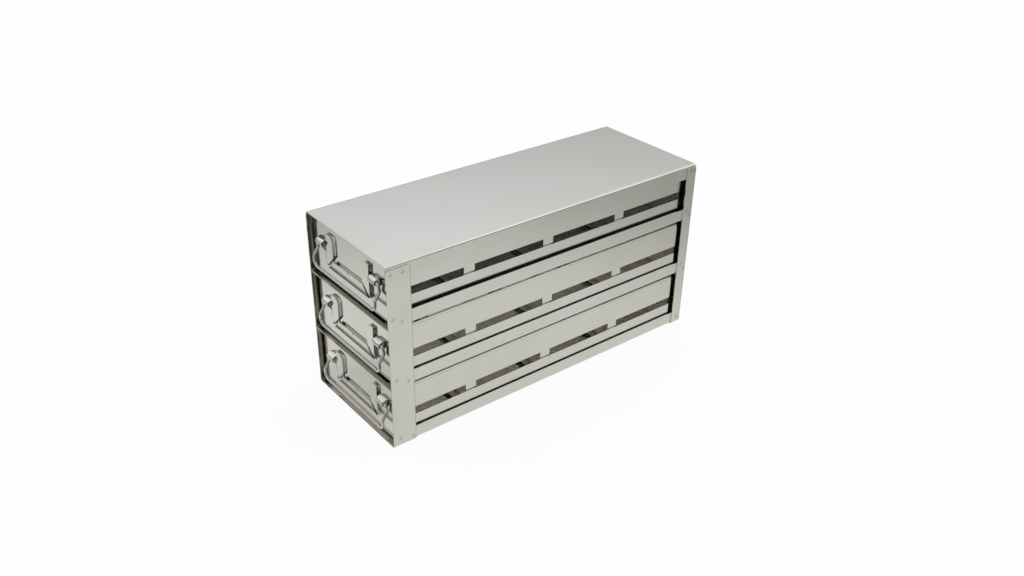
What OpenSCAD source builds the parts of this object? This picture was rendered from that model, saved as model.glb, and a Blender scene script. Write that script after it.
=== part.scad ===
// Freezer drawer rack: a welded sheet-metal frame with three sliding drawers.
// Millimetres. X is the width, -Y is the front, +Z is up.
// The origin is at the middle of the whole rack, handles included, on the floor.

/* [Rack] */
// Overall width over the two straps
width = 143; // [134:1:158]
// Overall depth, front strap to rear strap
depth = 390; // [340:1:440]
// Overall height, floor to cover
height = 196; // [188:1:212]
// Sheet thickness of straps, cover and rails
sheet = 1.0; // [0.8:0.1:1.2]
// Free height between a drawer and the tie above it
bay_gap = 1.9; // [1.2:0.1:3]
// Free height between the top drawer and the cover
top_gap = 1.0; // [0.6:0.1:2]

/* [Straps] */
// Width of the front strap along the depth
front_strap = 25; // [18:1:32]
// Width of the rear strap along the depth
rear_strap = 13; // [10:1:20]
// Outer bend radius of a strap under the rack
strap_bend = 3.2; // [2.8:0.2:4.0]
// Distance of the front strap's ends below the cover
front_drop = 4; // [3:0.5:6]
// Distance of the rear strap's ends below the cover
rear_drop = 2.5; // [2.5:0.5:6]
// Corner radius of the strap ends
strap_corner = 1.5; // [0.5:0.5:3]
// Diameter of a spot-weld dimple
weld_d = 2.6; // [2:0.2:4]
// Depth of a spot-weld dimple
weld_deep = 0.2; // [0.1:0.05:0.3]

/* [Cover and rails] */
// Height of the folded side flange of the cover
cover_flange = 14.5; // [12:0.5:18]
// Outer bend radius of the cover
cover_bend = 2.2; // [1.6:0.2:3]
// Height of a rail flange
rail_flange = 14; // [11:0.5:16]
// Width of the rail leg that carries a drawer
rail_leg = 13; // [10:0.5:16]
// Outer bend radius of a rail
rail_bend = 2.6; // [2.4:0.2:3]
// Distance of the rail ends from the strap edges
rail_setback = 0.4; // [0.2:0.1:1]
// Depth of a front cross tie
tie_depth = 14; // [10:1:20]
// Corner radius of the back sheet
back_corner = 4; // [3.5:0.5:8]
// Depth of the back sheet's fold under the cover
back_fold = 9; // [6:0.5:10]
// Height of the upturned rear stop
stop_height = 12; // [8:1:16]
// Rest gap between a drawer and its rear stop
stop_gap = 0.5; // [0.3:0.1:2]
// Gap between a rear stop and a rail leg
stop_side = 0.5; // [0.3:0.1:2]

/* [Drawers] */
// Side play between a drawer and a rail flange
side_play = 2.0; // [0.8:0.1:2.6]
// Where each drawer rests in its side play, as a share of it, left below zero
drawer_sit = [-0.65, 0.2, 0.2]; // [-0.8:0.05:0.8]
// Distance of the drawer front behind the strap edge
front_recess = 5.2; // [4.6:0.2:8]
// Free depth behind a drawer
rear_room = 13.9; // [13.5:0.1:20]
// How far the sides end before the rear panel
side_short = 2.9; // [2.5:0.1:5]
// Sheet thickness of the drawers
drawer_sheet = 1.0; // [0.8:0.1:1.0]
// Height of the low tray wall
tray_wall = 25.4; // [22:0.2:28]
// Height of the side slots
slot_height = 8.6; // [6:0.2:10]
// Width of a tab between two slots
tab_width = 12.4; // [9:0.2:16]
// Distance of the first tab behind the drawer front
first_tab = 81.4; // [70:0.2:90]
// How far a tab reaches down behind the tray wall
tab_lap = 16.4; // [12:0.2:18]
// Gap between the tray wall and the step of a tab
tab_gap = 0.2; // [0.1:0.1:0.5]
// Corner radius at the foot of a tab
tab_corner = 2; // [1:0.5:3]
// Height of the inward hem along the top of a side
hem = 5.5; // [4:0.5:8]
// Height of the set-back edge above the line along the hem
hem_edge = 2.6; // [2:0.2:3.4]
// How far that edge is set back
hem_set = 0.5; // [0.3:0.1:0.6]
// Bend radius of the tray
drawer_bend = 2.4; // [2:0.2:3]
// Height of the tray's rear lip
rear_lip = 12; // [9:0.5:14]
// Depth of the folded sides of the front panel
front_return = 11.8; // [9:0.2:14]
// Depth of the folded foot of the front panel
front_foot = 8.8; // [7:0.2:10]
// How far the tray floor reaches under that foot
floor_lap = 5.4; // [4:0.2:6]
// Gap between the front panel's folds and the tray
fold_gap = 0.5; // [0.3:0.1:1]
// Height of a cross strap above the tray floor
strap_lift = 2; // [1:0.5:4]
// Height of the turned-up rear edge of a cross strap
strap_lip = 1.4; // [1:0.2:2]
// Height of the turned-up ends of a cross strap
strap_end = 11; // [9:0.5:14]
// Depth of the rear panel's side flanges
rear_flange = 12; // [8:0.5:16]
// Height of the rear panel's side flanges
rear_flange_tall = 16; // [10:1:18]

/* [Card holder] */
// Height of the card holder above the drawer base
holder_base = 15.5; // [14:0.5:18]
// Height of the card holder
holder_height = 35.5; // [30:0.5:38]
// Width of the side lips
holder_lip = 12; // [8:0.5:14]
// Height of the bottom lip
holder_foot = 10; // [7:0.5:12]
// Sheet thickness of the card holder
holder_sheet = 0.7; // [0.4:0.1:0.8]
// Gap for the card
card_gap = 1.2; // [0.8:0.1:1.8]
// Radius of the upper inner corners of the lips
lip_corner = 6; // [2:0.5:7]
// How far the back stays hidden behind the edges of the lips
back_inset = 2.5; // [1:0.5:4]
// Size of the open corners where two lips meet
lip_open = 2; // [1:0.5:3]
// Width of the notch in the bottom lip
notch_width = 1.6; // [0.6:0.2:2]
// Depth of the notch in the bottom lip
notch_deep = 1.8; // [1:0.2:3]
// Distance of the card holder from a loop
holder_gap = 3.05; // [2.5:0.05:5]

/* [Wire handle] */
// Wire diameter
wire_d = 3.0; // [2.4:0.2:3.2]
// Running gap between the wire and its loop
wire_play = 0.4; // [0.3:0.1:0.6]
// Height of the pivot above the drawer base
pivot_up = 39; // [36:0.5:42]
// Height of the straight grip above the drawer base
grip_up = 12.4; // [10:0.5:16]
// Distance of the grip in front of the drawer front
grip_out = 7.4; // [6:0.2:10]
// Radius of the two lower corners
grip_corner = 6; // [4:0.5:7]
// Bend radius of the cranked legs
bend_r = 2.6; // [2.2:0.2:3]
// Drop from the pivot to the knee of a leg
knee_drop = 8.2; // [7.6:0.2:10]
// Drop from the pivot to the lower crank of a leg
crank_drop = 16.2; // [14:0.2:17]
// Width of a lanced loop
loop_width = 11.5; // [8:0.5:13]
// Half height of a loop where it leaves the panel
loop_half = 4.9; // [4.6:0.1:5.4]
// Distance of a loop's middle from the side of the drawer
loop_inset = 20.4; // [18:0.2:22]
// Distance of a leg's axis from its loop
leg_gap = 2.3; // [2:0.1:3]
// Reach of the wire's end past its loop
wire_tail = 1.6; // [1:0.2:2.4]
// Room between the wire and the panel at the pivot
pivot_room = 1.7; // [1.5:0.1:2]
// Room between the wire and the panel at the knee
knee_room = 0.4; // [0.3:0.1:0.8]

/* [Hidden] */
$fn = 48;
cover_half = width / 2 - sheet;
rail_inner = cover_half - sheet;
// The height holds seven sheets, three drawers and the free heights above them
drawer_tall = (height - 7 * sheet - 2 * bay_gap - top_gap) / 3;
pitch = drawer_tall + bay_gap + 2 * sheet;
drawer_half = rail_inner - side_play;
back_y = depth - sheet;
rear_end = depth - rear_room;
side_end = rear_end - side_short;
tab_pitch = (side_end - front_recess - first_tab) / 3;
return_end = front_recess + front_return;
// The front panel bends a little wider than the tray, to close over it
front_bend = drawer_bend + tab_gap;
inner_half = drawer_half - drawer_sheet;
tail_half = inner_half - drawer_sheet;
loop_mid = drawer_half - loop_inset;
leg_x = loop_mid + loop_width / 2 + leg_gap;
holder_half = loop_mid - loop_width / 2 - holder_gap;
wire_r = wire_d / 2;
run_seat = 0.1;
bend_swell = 0.02;
loop_in = wire_r + wire_play;
loop_out = loop_in + drawer_sheet;
pivot_y = front_recess - wire_r - pivot_room;
knee_y = front_recess - wire_r - knee_room;
grip_y = front_recess - grip_out;
// From the front of the rack to the middle of its box, which the handles lengthen
front_to_middle = (depth + grip_y - wire_r) / 2;
slot_top = tray_wall + slot_height;
// Half the run of a joggle that steps over by one sheet
joggle = 0.9 * drawer_sheet;
// Lag of a joggle's inner face behind its outer face
slant = 0.4 * drawer_sheet;
// Play of the rear panel between the side hems
panel_play = 0.2 * drawer_sheet;
// Spot welds of a strap, set by hand: [row, from its front edge, up, from its rear edge, up]
front_welds = [
    [0, 4.4, 6.1, 8.0, 5.7], [1, 5.0, 10.6, 10.6, 6.0],
    [2, 5.5, 10.0, 6.6, 5.2], [3, 7.2, 8.4, 3.6, 5.4]
];
rear_welds = [
    [0, 5.2, 9.4, 2.6, 8.1], [1, 5.2, 12.0, 3.5, 6.4],
    [2, 5.2, 11.4, 2.7, 5.2], [3, 6.6, 9.2, 2.5, 5.4]
];

steel = [0.78, 0.78, 0.75];
strap_tone = [0.74, 0.74, 0.71];
drawer_tone = [0.82, 0.82, 0.80];
wire_tone = [0.70, 0.70, 0.68];

// Underside of the rails at level 1 (top) to 3 (bottom).
function level(i) = sheet + (3 - i) * pitch;
// Underside of a drawer: the top of the rail legs.
function base(i) = level(i) + sheet;
// Front edge of tab k along the depth.
function tab_front(k) = front_recess + first_tab + (k - 1) * tab_pitch;
// Foot of a row of welds: the cover's flange (0) or a rail's underside.
function weld_row(i) = i == 0 ? height - cover_flange : level(i);

// Y is counted from the front of the rack in every piece.
module from_front() {
    translate([0, -front_to_middle, 0]) children();
}

// A piece of drawer i, which stands a little to one side in its play.
module in_bay(i) {
    translate([drawer_sit[i - 1] * side_play, 0, 0]) from_front() children();
}

// A flat outline in X and Z, run along the depth from y0 to y1.
module along_y(y0, y1) {
    translate([0, y1, 0]) rotate([90, 0, 0]) linear_extrude(y1 - y0) children();
}

// A flat outline in Y and Z, run across the width from x0 to x1.
module along_x(x0, x1) {
    translate([x0, 0, 0]) rotate([90, 0, 90]) linear_extrude(x1 - x0) children();
}

// Quarter ring of a sheet bend with its outer faces on x = 0 and y = 0.
module bend(r, t) {
    intersection() {
        translate([r, r]) difference() {
            circle(r);
            circle(r - t);
        }
        square(r);
    }
}

// Angle with its outer corner at the origin: a leg up and a leg across.
module angle_outline(up, across, t, r) {
    bend(r, t);
    translate([0, r]) square([t, up - r]);
    translate([r, 0]) square([across - r, t]);
}

// Open channel, width w and height h, with its base on y = 0.
module channel_outline(w, h, t, r) {
    for (s = [0, 1]) mirror([s, 0]) translate([-w / 2, 0]) angle_outline(h, w / 2 + 0.01, t, r);
}

// Cutter that rounds an outer corner at the origin, towards +x and +y.
module round_cut(r) {
    difference() {
        translate([-1, -1]) square(r + 1);
        translate([r, r]) circle(r);
    }
}

// Spot-weld dimple on both sides of the rack.
module weld(y, z) {
    for (s = [-1, 1]) translate([s * width / 2, y, z])
        rotate([0, 90, 0]) cylinder(d = weld_d, h = 2 * weld_deep, center = true);
}

// Strap bent into a hoop: two legs and the part under the rack.
module hoop(y0, y1, drop, welds) {
    top = height - drop;
    from_front() difference() {
        along_y(y0, y1) channel_outline(width, top, sheet, strap_bend);
        along_x(-width, width) {
            translate([y0, top]) mirror([0, 1]) round_cut(strap_corner);
            translate([y1, top]) mirror([1, 0]) mirror([0, 1]) round_cut(strap_corner);
        }
        for (w = welds) {
            weld(y0 + w[1], weld_row(w[0]) + w[2]);
            weld(y1 - w[3], weld_row(w[0]) + w[4]);
        }
    }
}

module top_cover() {
    color(steel) from_front()
        along_y(0, depth) translate([0, height]) mirror([0, 1])
            channel_outline(2 * cover_half, cover_flange, sheet, cover_bend);
}

// Closes the back between the rails, with a fold that is welded under the cover.
module back_sheet() {
    r = 2 * sheet;
    top = height - sheet;
    fold_half = rail_inner - 2 * back_corner;
    color(steel) from_front() {
        along_y(back_y, depth) difference() {
            translate([-rail_inner, sheet]) square([2 * rail_inner, top - sheet]);
            for (s = [0, 1]) mirror([s, 0]) {
                translate([-rail_inner, sheet]) round_cut(back_corner);
                translate([-rail_inner, top]) mirror([0, 1]) round_cut(back_corner);
            }
            translate([-fold_half, top - r]) square([2 * fold_half, 2 * r]);
        }
        along_x(-fold_half, fold_half) translate([depth, top]) mirror([1, 0]) mirror([0, 1])
            angle_outline(r + sheet, back_fold, sheet, r);
    }
}

module front_hoop() {
    color(strap_tone) hoop(0, front_strap, front_drop, front_welds);
}

module rear_hoop() {
    color(strap_tone) hoop(depth - rear_strap, depth, rear_drop, rear_welds);
}

module rail(i, side) {
    color(steel) from_front() mirror([side > 0 ? 1 : 0, 0, 0])
        along_y(rail_setback, back_y) translate([-cover_half, level(i)])
            angle_outline(rail_flange, rail_leg, sheet, rail_bend);
}

module tie(i, y0, y1) {
    color(steel) from_front()
        translate([-cover_half, y0, level(i) - sheet]) cube([2 * cover_half, y1 - y0, sheet]);
}

module rear_stop(i) {
    half = cover_half - rail_leg - stop_side;
    y0 = rear_end + stop_gap;
    color(steel) from_front()
        along_x(-half, half) translate([y0, level(i)])
            angle_outline(stop_height, back_y - y0, sheet, 2 * sheet);
}

module tray(i) {
    z = base(i);
    t = drawer_sheet;
    r = drawer_bend;
    flat = drawer_half - r;
    y0 = front_recess + front_foot - floor_lap;
    color(drawer_tone) in_bay(i) {
        for (s = [0, 1]) mirror([s, 0, 0])
            along_y(return_end + fold_gap, side_end) translate([-drawer_half, z])
                angle_outline(tray_wall, r + t, t, r);
        translate([-flat, y0, z]) cube([2 * flat, rear_end - r - y0, t]);
        along_x(-flat + t, flat - t) translate([rear_end, z]) mirror([1, 0])
            angle_outline(rear_lip, r + t, t, r);
    }
}

// Upper band of one side with its hem and three tabs that step in behind the tray wall.
module side_band(i, side) {
    z = base(i);
    t = drawer_sheet;
    top = z + drawer_tall;
    low = z + slot_top;
    foot = z + tray_wall;
    step = foot + tab_gap;
    edge = top - hem_edge;
    nose = t - hem_set / 2;
    y0 = front_recess + front_bend + tab_gap;
    y1 = return_end + 2 * joggle + slant;
    color(drawer_tone) in_bay(i) mirror([side < 0 ? 1 : 0, 0, 0]) {
        translate([0, 0, low]) linear_extrude(edge - low) polygon([
            [inner_half, y0], [inner_half, return_end], [drawer_half, return_end + 2 * joggle],
            [drawer_half, side_end], [inner_half, side_end], [inner_half, y1],
            [tail_half, return_end + slant], [tail_half, y0]
        ]);
        along_y(y1, side_end) {
            translate([tail_half, top - hem]) square([t, hem - nose]);
            translate([tail_half, edge - t]) square([2 * nose, t + hem_edge - nose]);
            intersection() {
                translate([tail_half + nose, top - nose]) circle(nose);
                translate([tail_half, top - nose]) square([2 * nose, nose]);
            }
        }
        for (k = [1 : 3]) difference() {
            along_y(tab_front(k), tab_front(k) + tab_width) polygon([
                [drawer_half, low + t], [drawer_half, step + 2 * joggle], [inner_half, step],
                [inner_half, foot - tab_lap], [tail_half, foot - tab_lap], [tail_half, step + slant],
                [inner_half, step + 2 * joggle + slant], [inner_half, low + t]
            ]);
            along_x(tail_half - 1, drawer_half + 1)
                translate([tab_front(k) + tab_width, step]) mirror([1, 0]) round_cut(tab_corner);
            translate([tail_half - 1, tab_front(k) + tab_width - tab_corner, foot - tab_lap - 1])
                cube([2 * t + 2, tab_corner + 1, tab_lap + 1 + tab_gap]);
        }
    }
}

module rear_panel(i) {
    z = base(i);
    t = drawer_sheet;
    top = z + drawer_tall - t;
    lip = z + rear_lip + t;
    foot = z + drawer_bend + fold_gap;
    y = rear_end;
    r = 2 * t;
    color(drawer_tone) in_bay(i) {
        along_x(-tail_half + panel_play, tail_half - panel_play) polygon([
            [y, top], [y, lip + joggle + fold_gap], [y - t, lip - joggle + fold_gap], [y - t, foot],
            [y - 2 * t, foot], [y - 2 * t, lip], [y - t, lip + 2 * joggle], [y - t, top]
        ]);
        for (s = [0, 1]) mirror([s, 0, 0])
            translate([inner_half, y, z + slot_top + 2 * t]) mirror([1, 0, 0]) mirror([0, 1, 0])
                linear_extrude(rear_flange_tall) angle_outline(rear_flange, 2 * r, t, r);
    }
}

module cross_strap(i, k) {
    t = drawer_sheet;
    y1 = tab_front(k) + tab_width - tab_corner;
    flat = tail_half - 2 * t;
    color(drawer_tone) in_bay(i) translate([0, 0, base(i) + t + strap_lift]) {
        along_y(tab_front(k), y1) channel_outline(2 * tail_half, strap_end, t, 2 * t);
        translate([-flat, y1 - t, 0]) cube([2 * flat, t, t + strap_lip]);
    }
}

// Folded loop round the wire: two straight walls and a round nose about the pivot.
module loop_outline(r) {
    dy = front_recess + drawer_sheet / 2 - pivot_y;
    reach = sqrt(dy * dy + loop_half * loop_half);
    a = atan2(loop_half, dy) + acos(loop_out / reach);
    run = sqrt(reach * reach - loop_out * loop_out) + (loop_out - r) * 0.9;
    n = [cos(a), sin(a)];
    d = [sin(a), -cos(a)];
    p = [r * n[0], r * n[1]];
    q = [p[0] + run * d[0], p[1] + run * d[1]];
    circle(r);
    polygon([[0, 0], p, q, [q[0], -q[1]], [p[0], -p[1]]]);
}

module front_panel(i) {
    z = base(i);
    t = drawer_sheet;
    r = front_bend;
    split = z + t + r + fold_gap;
    y = front_recess;
    color(drawer_tone) in_bay(i) {
        difference() {
            union() {
                translate([0, y, split]) linear_extrude(z + drawer_tall - split)
                    channel_outline(2 * drawer_half, front_return, t, r);
                along_x(-drawer_half + r + fold_gap, drawer_half - r - fold_gap) translate([y, z + t])
                    angle_outline(split - z, front_foot, t, r);
            }
            for (s = [-1, 1]) translate([s * loop_mid, y, z + pivot_up])
                cube([loop_width, 8 * t, 2 * (loop_half - 1.2 * t)], center = true);
        }
        for (s = [-1, 1]) translate([s * loop_mid, 0, 0])
            along_x(-loop_width / 2, loop_width / 2) translate([pivot_y, z + pivot_up])
                intersection() {
                    difference() {
                        loop_outline(loop_out);
                        loop_outline(loop_in);
                    }
                    translate([-2 * loop_out, -2 * loop_half])
                        square([2 * loop_out + y + t / 2 - pivot_y, 4 * loop_half]);
                }
    }
}

// One sheet: a U-shaped back against the drawer front and three lips folded over the card.
module card_holder(i) {
    t = holder_sheet;
    back = front_recess;
    face = back - 2 * t - card_gap;
    w = holder_half;
    h = holder_height;
    c = lip_open;
    foot = holder_foot;
    window = w - holder_lip + back_inset;
    z = base(i) + holder_base;
    color(steel) in_bay(i) translate([0, 0, z]) {
        along_y(back - t, back) difference() {
            translate([-w, 0]) square([2 * w, h - back_inset]);
            translate([-window, foot - back_inset]) square([2 * window, h]);
        }
        for (s = [0, 1]) mirror([s, 0, 0]) {
            translate([-w, face, c]) cube([t, back - face, h - c]);
            along_y(face, face + t) difference() {
                polygon([[-w, c], [-w + holder_lip, c + holder_lip], [-w + holder_lip, h], [-w, h]]);
                translate([-w + holder_lip, h]) mirror([1, 0]) mirror([0, 1]) round_cut(lip_corner);
            }
        }
        translate([-w + c, face, 0]) cube([2 * (w - c), back - face, t]);
        along_y(face, face + t) difference() {
            polygon([[-w + c, 0], [w - c, 0], [w - c - foot, foot], [-w + c + foot, foot]]);
            translate([-notch_width / 2, foot - notch_deep]) square([notch_width, 2 * notch_deep]);
        }
    }
}

// Wire that runs along +X and bends in its own plane; each step is [run, roll, turn, radius].
// A bend is a hair thicker than a straight run, and the runs seat in its end faces.
module wire(steps, k = 0) {
    if (k < len(steps)) {
        s = steps[k];
        translate([-run_seat, 0, 0]) rotate([0, 90, 0]) cylinder(d = wire_d, h = s[0] + 2 * run_seat);
        translate([s[0], 0, 0]) rotate([s[1], 0, 0]) translate([0, s[3], 0]) {
            if (s[2] > 0) rotate([0, 0, -90])
                rotate_extrude(angle = s[2]) translate([s[3], 0]) circle(d = wire_d + bend_swell);
            rotate([0, 0, s[2]]) translate([0, -s[3], 0]) wire(steps, k + 1);
        }
    }
}

module bail(i) {
    z = base(i);
    end_x = loop_mid - loop_width / 2 - wire_tail;
    lean_in = atan2(knee_y - pivot_y, knee_drop);
    lean_out = atan2(knee_y - grip_y, crank_drop - knee_drop);
    crank = lean_in + lean_out;
    knee_cut = bend_r * tan(crank / 2);
    crank_cut = bend_r * tan(lean_out / 2);
    pin_run = leg_x - end_x - bend_r;
    upper_run = knee_drop / cos(lean_in) - bend_r - knee_cut;
    slope_run = (crank_drop - knee_drop) / cos(lean_out) - knee_cut - crank_cut;
    lower_run = pivot_up - crank_drop - grip_up - crank_cut - grip_corner;
    color(wire_tone) in_bay(i) translate([end_x, pivot_y, z + pivot_up]) rotate([lean_in - 90, 0, 0])
        wire([
            [pin_run, 0, 90, bend_r], [upper_run, -90, crank, bend_r], [slope_run, 180, lean_out, bend_r],
            [lower_run, -90, 90, grip_corner], [2 * (leg_x - grip_corner), 0, 90, grip_corner],
            [lower_run, 90, lean_out, bend_r], [slope_run, 180, crank, bend_r],
            [upper_run, 90, 90, bend_r], [pin_run, 0, 0, bend_r]
        ]);
}

top_cover();
back_sheet();
front_hoop();
rear_hoop();
rail(1, -1);  // rail_left_1
rail(2, -1);  // rail_left_2
rail(3, -1);  // rail_left_3
rail(1, 1);  // rail_right_1
rail(2, 1);  // rail_right_2
rail(3, 1);  // rail_right_3
tie(1, 0, tie_depth);  // front_tie_1
tie(2, 0, tie_depth);  // front_tie_2
tie(1, depth - rear_strap, back_y);  // rear_tie_1
tie(2, depth - rear_strap, back_y);  // rear_tie_2
rear_stop(1);  // rear_stop_1
rear_stop(2);  // rear_stop_2
rear_stop(3);  // rear_stop_3
tray(1);  // tray_1
tray(2);  // tray_2
tray(3);  // tray_3
side_band(1, -1);  // side_left_1
side_band(2, -1);  // side_left_2
side_band(3, -1);  // side_left_3
side_band(1, 1);  // side_right_1
side_band(2, 1);  // side_right_2
side_band(3, 1);  // side_right_3
rear_panel(1);  // rear_panel_1
rear_panel(2);  // rear_panel_2
rear_panel(3);  // rear_panel_3
front_panel(1);  // front_panel_1
front_panel(2);  // front_panel_2
front_panel(3);  // front_panel_3
card_holder(1);  // card_holder_1
card_holder(2);  // card_holder_2
card_holder(3);  // card_holder_3
cross_strap(1, 1);  // cross_strap_1_1
cross_strap(1, 2);  // cross_strap_1_2
cross_strap(1, 3);  // cross_strap_1_3
cross_strap(2, 1);  // cross_strap_2_1
cross_strap(2, 2);  // cross_strap_2_2
cross_strap(2, 3);  // cross_strap_2_3
cross_strap(3, 1);  // cross_strap_3_1
cross_strap(3, 2);  // cross_strap_3_2
cross_strap(3, 3);  // cross_strap_3_3
bail(1);  // bail_1
bail(2);  // bail_2
bail(3);  // bail_3
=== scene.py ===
import math

import bpy
from mathutils import Matrix, Vector


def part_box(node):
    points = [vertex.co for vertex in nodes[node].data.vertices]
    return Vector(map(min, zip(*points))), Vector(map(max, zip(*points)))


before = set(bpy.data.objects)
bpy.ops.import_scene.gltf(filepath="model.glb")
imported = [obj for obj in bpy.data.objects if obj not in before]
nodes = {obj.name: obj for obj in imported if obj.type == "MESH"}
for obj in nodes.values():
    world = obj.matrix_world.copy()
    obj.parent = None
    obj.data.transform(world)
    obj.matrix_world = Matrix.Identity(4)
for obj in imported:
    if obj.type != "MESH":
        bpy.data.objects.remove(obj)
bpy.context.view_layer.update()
coverLow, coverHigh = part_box("top_cover")
strapLow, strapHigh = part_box("front_hoop")
print("frame loaded:", len(nodes), "pieces")


# Shader maths: a wrapped socket, so that 1 - mask and a * b add their own Math nodes
class Signal:
    def __init__(self, tree, socket=None):
        self.tree = tree
        self.socket = socket

    # any node: its type, its settings first, then the values or links of its sockets
    def node(self, kind, settings, sockets, output=0):
        made = self.tree.nodes.new("ShaderNode" + kind)
        for key, value in settings.items():
            setattr(made, key, value)
        for key, value in sockets.items():
            if isinstance(value, Signal):
                self.tree.links.new(value.socket, made.inputs[key])
            else:
                made.inputs[key].default_value = value
        return Signal(self.tree, made.outputs[output] if made.outputs else None)

    def maths(self, operation, first, second):
        return self.node("Math", {"operation": operation}, {0: first, 1: second})

    def __add__(self, other):
        return self.maths("ADD", self, other)

    __radd__ = __add__

    def __sub__(self, other):
        return self.maths("SUBTRACT", self, other)

    def __rsub__(self, other):
        return self.maths("SUBTRACT", other, self)

    def __mul__(self, other):
        return self.maths("MULTIPLY", self, other)

    __rmul__ = __mul__

    # 0 below low, 1 above high, with a smooth step between
    def rise(self, low, high):
        return self.node("MapRange", {"interpolation_type": "SMOOTHSTEP"},
                         {"Value": self, "From Min": low, "From Max": high})


def colour(r, g, b):
    return (r, g, b, 1.0)


def mixColour(start, factor, first, second):
    return start.node("Mix", {"data_type": "RGBA"}, {0: factor, 6: first, 7: second}, output=2)


def distance(start, place, point):
    return start.node("VectorMath", {"operation": "DISTANCE"}, {0: place, 1: point}, output="Value")


def noise(start, place, scale, detail):
    return start.node("TexNoise", {}, {"Vector": place, "Scale": scale, "Detail": detail}, output="Fac")


def axesOf(start, place):
    return [start.node("SeparateXYZ", {}, {0: place}, output=axis) for axis in "XYZ"]


softEdge = 0.0002            # width of a mask's border, in metres like every length here


# 1 from low to high, with the soft edge outside them
def between(value, low, high):
    return value.rise(low - softEdge, low) * (1.0 - value.rise(high, high + softEdge))


# 1 inside a box, given by its limits across, along and up
def within(start, place, limits):
    x, y, z = axesOf(start, place)
    return between(x, *limits[0]) * between(y, *limits[1]) * between(z, *limits[2])


def newMaterial(name):
    material = bpy.data.materials.new(name)
    material.use_nodes = True
    tree = material.node_tree
    tree.nodes.clear()
    return material, Signal(tree)


def outputShader(start, shader):
    start.node("OutputMaterial", {}, {"Surface": shader})


# Satin sheet steel: rolled grain along one axis and faint mottling; inside the rack it is rougher, and
# its tone is painted paler to stand in for light in the dim interior
sheetSteel = {
    "tone": colour(0.565, 0.56, 0.51),
    "dullTone": colour(0.55, 0.545, 0.49),
    "roughness": 0.21,
    "roughnessSwing": 0.06,
    "grainAcross": 1500.0,   # lines per metre across the grain
    "grainAlong": 12.0,      # the same along it
    "grainDetail": 2.0,
    "grainFrom": (0.35, 0.75),
    "grainShare": 0.22,      # how much a grain line dulls the tone
    "grainBump": 0.006,
    "grainDepth": 0.0002,
    "mottle": 14.0,          # patches per metre
    "mottleDetail": 3.0,
    "mottleFrom": (0.42, 0.72),
    "mottleRoughness": 0.03,
}
insideSteelAndLight = {
    # painted light: a paler tone for the dim interior
    "tone": colour(0.90, 0.872, 0.79),
    "roughness": 0.26,
    "side": 0.0065,          # how far the space inside lies from the cover's and the hoop's faces
    "front": 0.02515,
    "back": 0.00065,
    "bottom": 0.0010,
    "top": 0.0015,
}


def insideLimits():
    i = insideSteelAndLight
    half = coverHigh.x - i["side"]
    along = (coverLow.y + i["front"], coverHigh.y - i["back"])
    return [(-half, half), along, (strapLow.z + i["bottom"], coverHigh.z - i["top"])]


def grainOf(start, axis):
    s = sheetSteel
    place = start.node("TexCoord", {}, {}, output="Object")
    stretch = [s["grainAlong"] if name == axis else s["grainAcross"] for name in "xyz"]
    stretched = start.node("Mapping", {}, {"Vector": place, "Scale": stretch})
    fine = noise(start, stretched, 1.0, s["grainDetail"])
    patches = noise(start, place, s["mottle"], s["mottleDetail"])
    return place, fine, patches


# tint, where a piece has one, changes the tone before the inside's painted paler tone is laid over it
def sheetShader(start, axis, tint=None, roughness=sheetSteel["roughness"]):
    s = sheetSteel
    place, fine, patches = grainOf(start, axis)
    dull = patches.rise(*s["mottleFrom"])
    base = mixColour(start, dull, s["tone"], s["dullTone"])
    base = mixColour(start, fine.rise(*s["grainFrom"]) * s["grainShare"], base, s["dullTone"])
    if tint:
        base = tint(place, base)
    # inside the rack the tone is painted paler, as light in the dim interior
    insideLit = within(start, place, insideLimits())
    base = mixColour(start, insideLit, base, insideSteelAndLight["tone"])
    rough = roughness + (fine - 0.5) * s["roughnessSwing"] + dull * s["mottleRoughness"]
    rough = rough + insideLit * (insideSteelAndLight["roughness"] - roughness)
    bump = start.node("Bump", {}, {
        "Strength": s["grainBump"], "Distance": s["grainDepth"], "Height": fine})
    return start.node("BsdfPrincipled", {}, {
        "Base Color": base, "Metallic": 1.0, "Roughness": rough, "Normal": bump})


def satinSteel(name, axis):
    material, start = newMaterial(name)
    outputShader(start, sheetShader(start, axis))
    return material


# Frame: the inner faces beside the drawers' fronts are painted dark, as shade
innerShade = {
    "strapSkin": 0.0008,     # how far inside a strap's outer face the painted shade starts
    "coverSkin": 0.0005,     # the same for the cover and the rails
    "ahead": 0.00685,        # how far it reaches before and behind the cover's front edge
    "deep": 0.03315,
    "bottom": 0.0015,        # how far it stays from the floor and the rack's top
    "top": 0.0017,
    "tone": colour(0.30, 0.288, 0.24),
}


def paintInnerShade(start, place, base, half):
    d = innerShade
    along = (coverLow.y - d["ahead"], coverLow.y + d["deep"])
    up = (strapLow.z + d["bottom"], coverHigh.z - d["top"])
    # painted shade over the inner faces
    inner = within(start, place, [(-half, half), along, up])
    return mixColour(start, inner, base, d["tone"])


def frameSteel(name):
    material, start = newMaterial(name)

    def tint(place, base):
        return paintInnerShade(start, place, base, coverHigh.x - innerShade["coverSkin"])

    outputShader(start, sheetShader(start, "y", tint))
    return material


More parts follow.
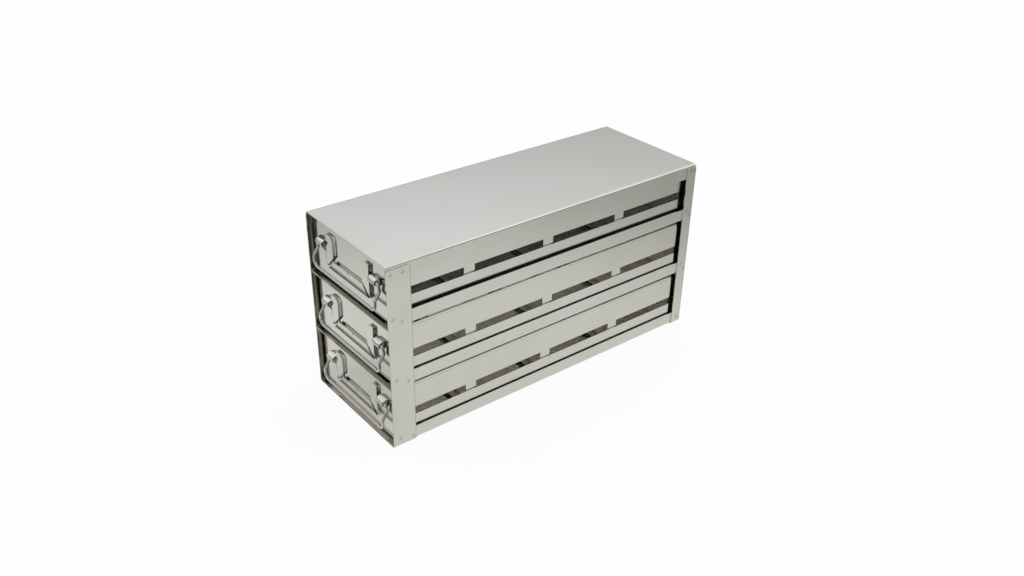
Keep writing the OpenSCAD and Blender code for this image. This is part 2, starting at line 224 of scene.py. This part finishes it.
# Straps: the same sheet with spot welds, each a pale dimple in a straw-coloured ring
spotWeld = {
    "shallowest": 0.00005,   # a dimple's floor lies between these below the strap's face
    "deepest": 0.0003,
    "bentFoot": 0.002,       # below this the strap's bend starts
    "reach": 0.003,          # vertices this close belong to one dimple
    "heart": 0.0008,         # radii of the pale middle, the dimple, the ring and the haze round it
    "dimple": 0.0012,
    "ring": 0.0018,
    "haze": 0.004,
    "hazeShare": 0.35,
    "heartTone": colour(0.58, 0.56, 0.46),
    "straw": colour(0.35, 0.27, 0.10),
    "hazeTone": colour(0.51, 0.485, 0.41),
    "edge": 0.0006,          # painted shade: a dark line along the strap's rear edge
    "edgeShadeTone": colour(0.30, 0.29, 0.25),
}


# the middles of the dimples in a strap's right face, found from its mesh
def weldPlaces(node):
    w = spotWeld
    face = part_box(node)[1].x
    found = []
    for vertex in nodes[node].data.vertices:
        if w["shallowest"] < face - vertex.co.x < w["deepest"] and vertex.co.z > w["bentFoot"]:
            place = Vector((0.0, vertex.co.y, vertex.co.z))
            near = [group for group in found if (group[0] - place).length < w["reach"]]
            if near:
                near[0].append(place)
            else:
                found.append([place])
    return [sum(group, Vector()) / len(group) for group in found]


def strapSteel(name, node):
    w = spotWeld
    material, start = newMaterial(name)
    places = weldPlaces(node)
    print(node, "has", len(places), "welds a side")

    def tint(place, base):
        flat = start.node("VectorMath", {"operation": "MULTIPLY"}, {0: place, 1: (0.0, 1.0, 1.0)})
        for weld in places:
            away = distance(start, flat, weld)
            haze = 1.0 - away.rise(w["ring"], w["haze"])
            spot = 1.0 - away.rise(w["dimple"], w["ring"])
            heart = 1.0 - away.rise(w["heart"], w["dimple"])
            base = mixColour(start, haze * w["hazeShare"], base, w["hazeTone"])
            base = mixColour(start, spot, base, w["straw"])
            base = mixColour(start, heart, base, w["heartTone"])
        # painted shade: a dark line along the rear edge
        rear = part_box(node)[1].y
        edgeShade = axesOf(start, place)[1].rise(rear - w["edge"], rear - 0.5 * w["edge"])
        base = mixColour(start, edgeShade, base, w["edgeShadeTone"])
        return paintInnerShade(start, place, base, strapHigh.x - innerShade["strapSkin"])

    outputShader(start, sheetShader(start, "z", tint))
    return material


# Drawn wire: a little darker than the sheet, with fine scratches
drawnWire = {
    "tone": colour(0.50, 0.495, 0.455),
    "roughness": 0.21,
    "scratches": 900.0,      # per metre
    "scratchDetail": 2.0,
    "scratchRoughness": 0.10,
    "scratchBump": 0.04,
    "scratchDepth": 0.0001,
}


def wireSteel(name):
    d = drawnWire
    material, start = newMaterial(name)
    place = start.node("TexCoord", {}, {}, output="Object")
    lines = noise(start, place, d["scratches"], d["scratchDetail"])
    bump = start.node("Bump", {}, {
        "Strength": d["scratchBump"], "Distance": d["scratchDepth"], "Height": lines})
    rough = d["roughness"] + lines * d["scratchRoughness"]
    outputShader(start, start.node("BsdfPrincipled", {}, {
        "Base Color": d["tone"], "Metallic": 1.0, "Roughness": rough, "Normal": bump}))
    return material


# Front ties: darker than the sheet, with a painted black shadow where they run back under a drawer
tieSteel = {
    "tone": colour(0.42, 0.405, 0.345),
    "shadowFrom": 0.00415,   # behind the tie's front edge
    "shadowFull": 0.00595,
    "shadowTone": colour(0.015, 0.014, 0.012),
}


def tieToneAndShadow(name):
    t = tieSteel
    material, start = newMaterial(name)
    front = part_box("front_tie_1")[0].y

    # in place of the sheet's own tone: a darker tone, and a painted shadow behind the front edge
    def tint(place, _):
        under = axesOf(start, place)[1].rise(front + t["shadowFrom"], front + t["shadowFull"])
        return mixColour(start, under, t["tone"], t["shadowTone"])

    outputShader(start, sheetShader(start, "x", tint))
    return material


# Cross straps in the drawers: a painted shadow along the front edge, and a painted highlight on the lip
# at the back
crossStrap = {
    "frontShadowTo": 0.13,         # shares of the strap's own length from front to back
    "lipHighlightFrom": 0.86,
    "soft": 0.02,
    "frontShadow": colour(0.02, 0.019, 0.016),
    "tone": colour(0.80, 0.775, 0.70),
    "lip": colour(0.86, 0.82, 0.70),
    "roughness": 0.34,
}


def crossStrapSteel(name):
    c = crossStrap
    material, start = newMaterial(name)
    own = start.node("TexCoord", {}, {}, output="Generated")
    along = axesOf(start, own)[1]
    # painted shadow along the front, then a painted highlight on the lip, made pale and not metallic
    pastShadow = along.rise(c["frontShadowTo"] - c["soft"], c["frontShadowTo"])
    lip = along.rise(c["lipHighlightFrom"] - c["soft"], c["lipHighlightFrom"])
    base = mixColour(start, pastShadow, c["frontShadow"], c["tone"])
    base = mixColour(start, lip, base, c["lip"])
    outputShader(start, start.node("BsdfPrincipled", {}, {
        "Base Color": base, "Metallic": 1.0 - lip, "Roughness": c["roughness"]}))
    return material


# Fronts: smoother sheet, with a painted highlight behind the card holder's lips: a pale matt patch
frontSteel = {
    "roughness": 0.13,
    "lip": 0.0136,           # width of the painted highlight behind a side lip
    "foot": 0.011,           # height of the one behind the foot lip
    "footFrom": 0.020,       # where that one starts and ends, in from the holder's sides
    "footTo": 0.012,
    "darkShare": 0.45,       # share of the holder's height below which the side lip stays dark
    "behind": 0.0005,        # how far behind the lips' faces the painted highlight is full
    "paintedLight": colour(0.77, 0.775, 0.71),
    "paintedLightRoughness": 0.4,
}


def paintedPocketLightOf(start, place):
    f = frontSteel
    x, y, z = axesOf(start, place)
    paintedLight = 0.0
    for holder in [name for name in nodes if name.startswith("card_holder")]:
        low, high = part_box(holder)
        dark = low.z + f["darkShare"] * (high.z - low.z)
        side = between(x, low.x, low.x + f["lip"]) * between(z, dark, high.z)
        footAcross = between(x, low.x + f["footFrom"], high.x - f["footTo"])
        foot = footAcross * between(z, low.z, low.z + f["foot"])
        paintedLight = paintedLight + (side + foot) * y.rise(low.y + 0.5 * f["behind"], low.y + f["behind"])
    return paintedLight


def frontSteelAndLightOf(name):
    f = frontSteel
    material, start = newMaterial(name)
    shader = sheetShader(start, "x", roughness=f["roughness"])
    place = start.node("TexCoord", {}, {}, output="Object")
    # the painted highlight: a pale matt shader over the pocket
    paintedLightShader = start.node("BsdfPrincipled", {}, {"Base Color": f["paintedLight"], "Roughness": f["paintedLightRoughness"]})
    outputShader(start, start.node("MixShader", {}, {0: paintedPocketLightOf(start, place), 1: shader, 2: paintedLightShader}))
    return material


alongDepth = satinSteel("satinSteelDepth", "y")
alongWidth = satinSteel("satinSteelWidth", "x")
frontSteelAndLight = frontSteelAndLightOf("frontSteel")
finishes = {                 # by the start of a piece's name; the others get alongWidth
    "top_cover": frameSteel("coverSteel"),
    "front_hoop": strapSteel("frontStrap", "front_hoop"),
    "rear_hoop": strapSteel("rearStrap", "rear_hoop"),
    "rail": frameSteel("railSteel"),
    "tray": alongDepth,
    "side": alongDepth,
    "bail": wireSteel("drawnWire"),
    "front_panel": frontSteelAndLight,
    "card_holder": frontSteelAndLight,
    "front_tie": tieToneAndShadow("tieSteel"),
    "cross_strap": crossStrapSteel("crossStrapSteel"),
}
for name, piece in nodes.items():
    finish = next((finishes[start] for start in finishes if name.startswith(start)), alongWidth)
    piece.data.materials.clear()
    piece.data.materials.append(finish)
print("finishes set")

# Broken edges: a small round on the cut edges of the drawers and front ties, which catches the light
brokenEdge = {
    "pieces": ("card_holder", "front_panel", "front_tie", "side", "tray"),
    "round": 0.00022,
    "steps": 2,
    "sharper": 40.0,         # degrees
    "join": 0.00001,
}


def breakEdges(piece):
    weld = piece.modifiers.new("joinedCorners", "WELD")
    weld.merge_threshold = brokenEdge["join"]
    bevel = piece.modifiers.new("brokenEdges", "BEVEL")
    bevel.width = brokenEdge["round"]
    bevel.segments = brokenEdge["steps"]
    bevel.limit_method = "ANGLE"
    bevel.angle_limit = math.radians(brokenEdge["sharper"])
    bevel.harden_normals = True


for name, piece in nodes.items():
    if name.startswith(brokenEdge["pieces"]):
        breakEdges(piece)
print("edges broken")

# Pale floor: white to the camera with a faint shadow; in reflections its glow is painted darker away
# from the rack
floorLook = {
    "size": 8.0,
    "drop": 0.0002,          # how far it lies under the rack
    "tone": colour(0.86, 0.855, 0.83),
    "roughness": 0.7,
    "glow": colour(1.0, 1.0, 1.0),
    "farGlow": colour(0.52, 0.52, 0.51),
    "glowMiddle": (0.06, -0.12, 0.0),
    "nearEdge": 0.24,
    "farEdge": 0.68,
    "shades": [              # painted shadows on the glow that only reflections see: [middle, near, far, depth]
        [(-0.03, -0.21, 0.0), 0.03, 0.10, 0.20],
        [(0.25, -0.37, 0.0), 0.12, 0.26, 0.90],
    ],
    "shadeTone": colour(0.0, 0.0, 0.0),
    "share": 0.93,           # how much of it is plain glow to camera and reflections
}


def floorMaterial():
    f = floorLook
    material, start = newMaterial("paleFloor")
    rays = ("Is Camera Ray", "Is Glossy Ray", "Is Transmission Ray")
    camera, glossy, through = [start.node("LightPath", {}, {}, output=ray) for ray in rays]
    seen = start.maths("MAXIMUM", camera, start.maths("MAXIMUM", glossy, through))
    lit = start.node("BsdfPrincipled", {}, {"Base Color": f["tone"], "Roughness": f["roughness"]})
    place = start.node("TexCoord", {}, {}, output="Object")
    far = distance(start, place, f["glowMiddle"]).rise(f["nearEdge"], f["farEdge"]) * (1.0 - camera)
    tone = mixColour(start, far, f["glow"], f["farGlow"])
    for middle, near, edge, depth in f["shades"]:
        shade = (1.0 - distance(start, place, middle).rise(near, edge)) * depth * (1.0 - camera)
        tone = mixColour(start, shade, tone, f["shadeTone"])
    glow = start.node("Emission", {}, {"Color": tone, "Strength": 1.0})
    outputShader(start, start.node("MixShader", {}, {0: seen * f["share"], 1: lit, 2: glow}))
    return material


def addFloor():
    half = floorLook["size"] / 2
    mesh = bpy.data.meshes.new("floor")
    corners = [(-half, -half, 0), (half, -half, 0), (half, half, 0), (-half, half, 0)]
    mesh.from_pydata(corners, [], [(0, 1, 2, 3)])
    floor = bpy.data.objects.new("floor", mesh)
    floor.location.z = -floorLook["drop"]
    mesh.materials.append(floorMaterial())
    bpy.context.scene.collection.objects.link(floor)


# Sky: white to the camera; the steel mirrors a bright band, which is dimmer in front of the rack
skyLook = {
    "high": colour(0.86, 0.86, 0.90),
    "band": colour(1.36, 1.36, 1.47),
    "front": colour(0.78, 0.78, 0.82),
    "low": colour(0.36, 0.36, 0.35),
    "seen": colour(1.0, 1.0, 1.0),
    "bandRise": (0.24, 0.54),    # heights on the dome over which the band starts and ends
    "bandFall": (0.60, 0.82),
    "frontFall": (-0.35, 0.05),  # Y directions over which the dimmer front ends
}


def setWorld():
    k = skyLook
    world = bpy.data.worlds.new("studio")
    bpy.context.scene.world = world
    world.use_nodes = True
    world.node_tree.nodes.clear()
    start = Signal(world.node_tree)
    direction = start.node("TexCoord", {}, {}, output="Generated")
    _, y, height = axesOf(start, direction)
    band = height.rise(*k["bandRise"])
    sky = mixColour(start, band, k["low"], k["band"])
    sky = mixColour(start, height.rise(*k["bandFall"]), sky, k["high"])
    sky = mixColour(start, (1.0 - y.rise(*k["frontFall"])) * band, sky, k["front"])
    camera = start.node("LightPath", {}, {}, output="Is Camera Ray")
    tone = mixColour(start, camera, sky, k["seen"])
    shader = start.node("Background", {}, {"Color": tone, "Strength": 1.0})
    start.node("OutputWorld", {}, {"Surface": shader})


# Softboxes: [place, size, watts], each turned to the middle of the rack
softboxes = {
    "overhead": [(0.1, 0.1, 1.8), 1.8, 3.0],
    "behind": [(0.9, 0.9, 1.2), 0.7, 1.2],
    "left": [(-1.4, -0.9, 1.1), 1.6, 2.0],
}
softboxAim = Vector((0.0, 0.0, 0.1))


def addSoftbox(name, place, size, watts):
    light = bpy.data.lights.new(name, "AREA")
    light.size = size
    light.energy = watts
    lamp = bpy.data.objects.new(name, light)
    lamp.location = place
    lamp.rotation_euler = (softboxAim - Vector(place)).to_track_quat("-Z", "Y").to_euler()
    bpy.context.scene.collection.objects.link(lamp)


addFloor()
setWorld()
for name, (place, size, watts) in softboxes.items():
    addSoftbox(name, place, size, watts)
print("studio set")

# Camera at the photograph's viewing angle
viewpoint = {
    "place": Vector((0.72301, -0.57990, 0.60687)),
    "aim": Vector((0.00301, 0.00185, 0.07879)),
    "lens": 35.136,          # millimetres, as is the sensor's width
    "sensor": 36.0,
    "roll": 1.136,           # degrees
}


def addCamera():
    data = bpy.data.cameras.new("camera")
    data.lens = viewpoint["lens"]
    data.sensor_width = viewpoint["sensor"]
    camera = bpy.data.objects.new("camera", data)
    look = (viewpoint["aim"] - viewpoint["place"]).to_track_quat("-Z", "Y").to_matrix().to_4x4()
    roll = Matrix.Rotation(math.radians(viewpoint["roll"]), 4, "Z")
    camera.matrix_world = Matrix.Translation(viewpoint["place"]) @ look @ roll
    bpy.context.scene.collection.objects.link(camera)
    bpy.context.scene.camera = camera


addCamera()
bpy.context.scene.view_settings.view_transform = "Standard"
print("camera set")
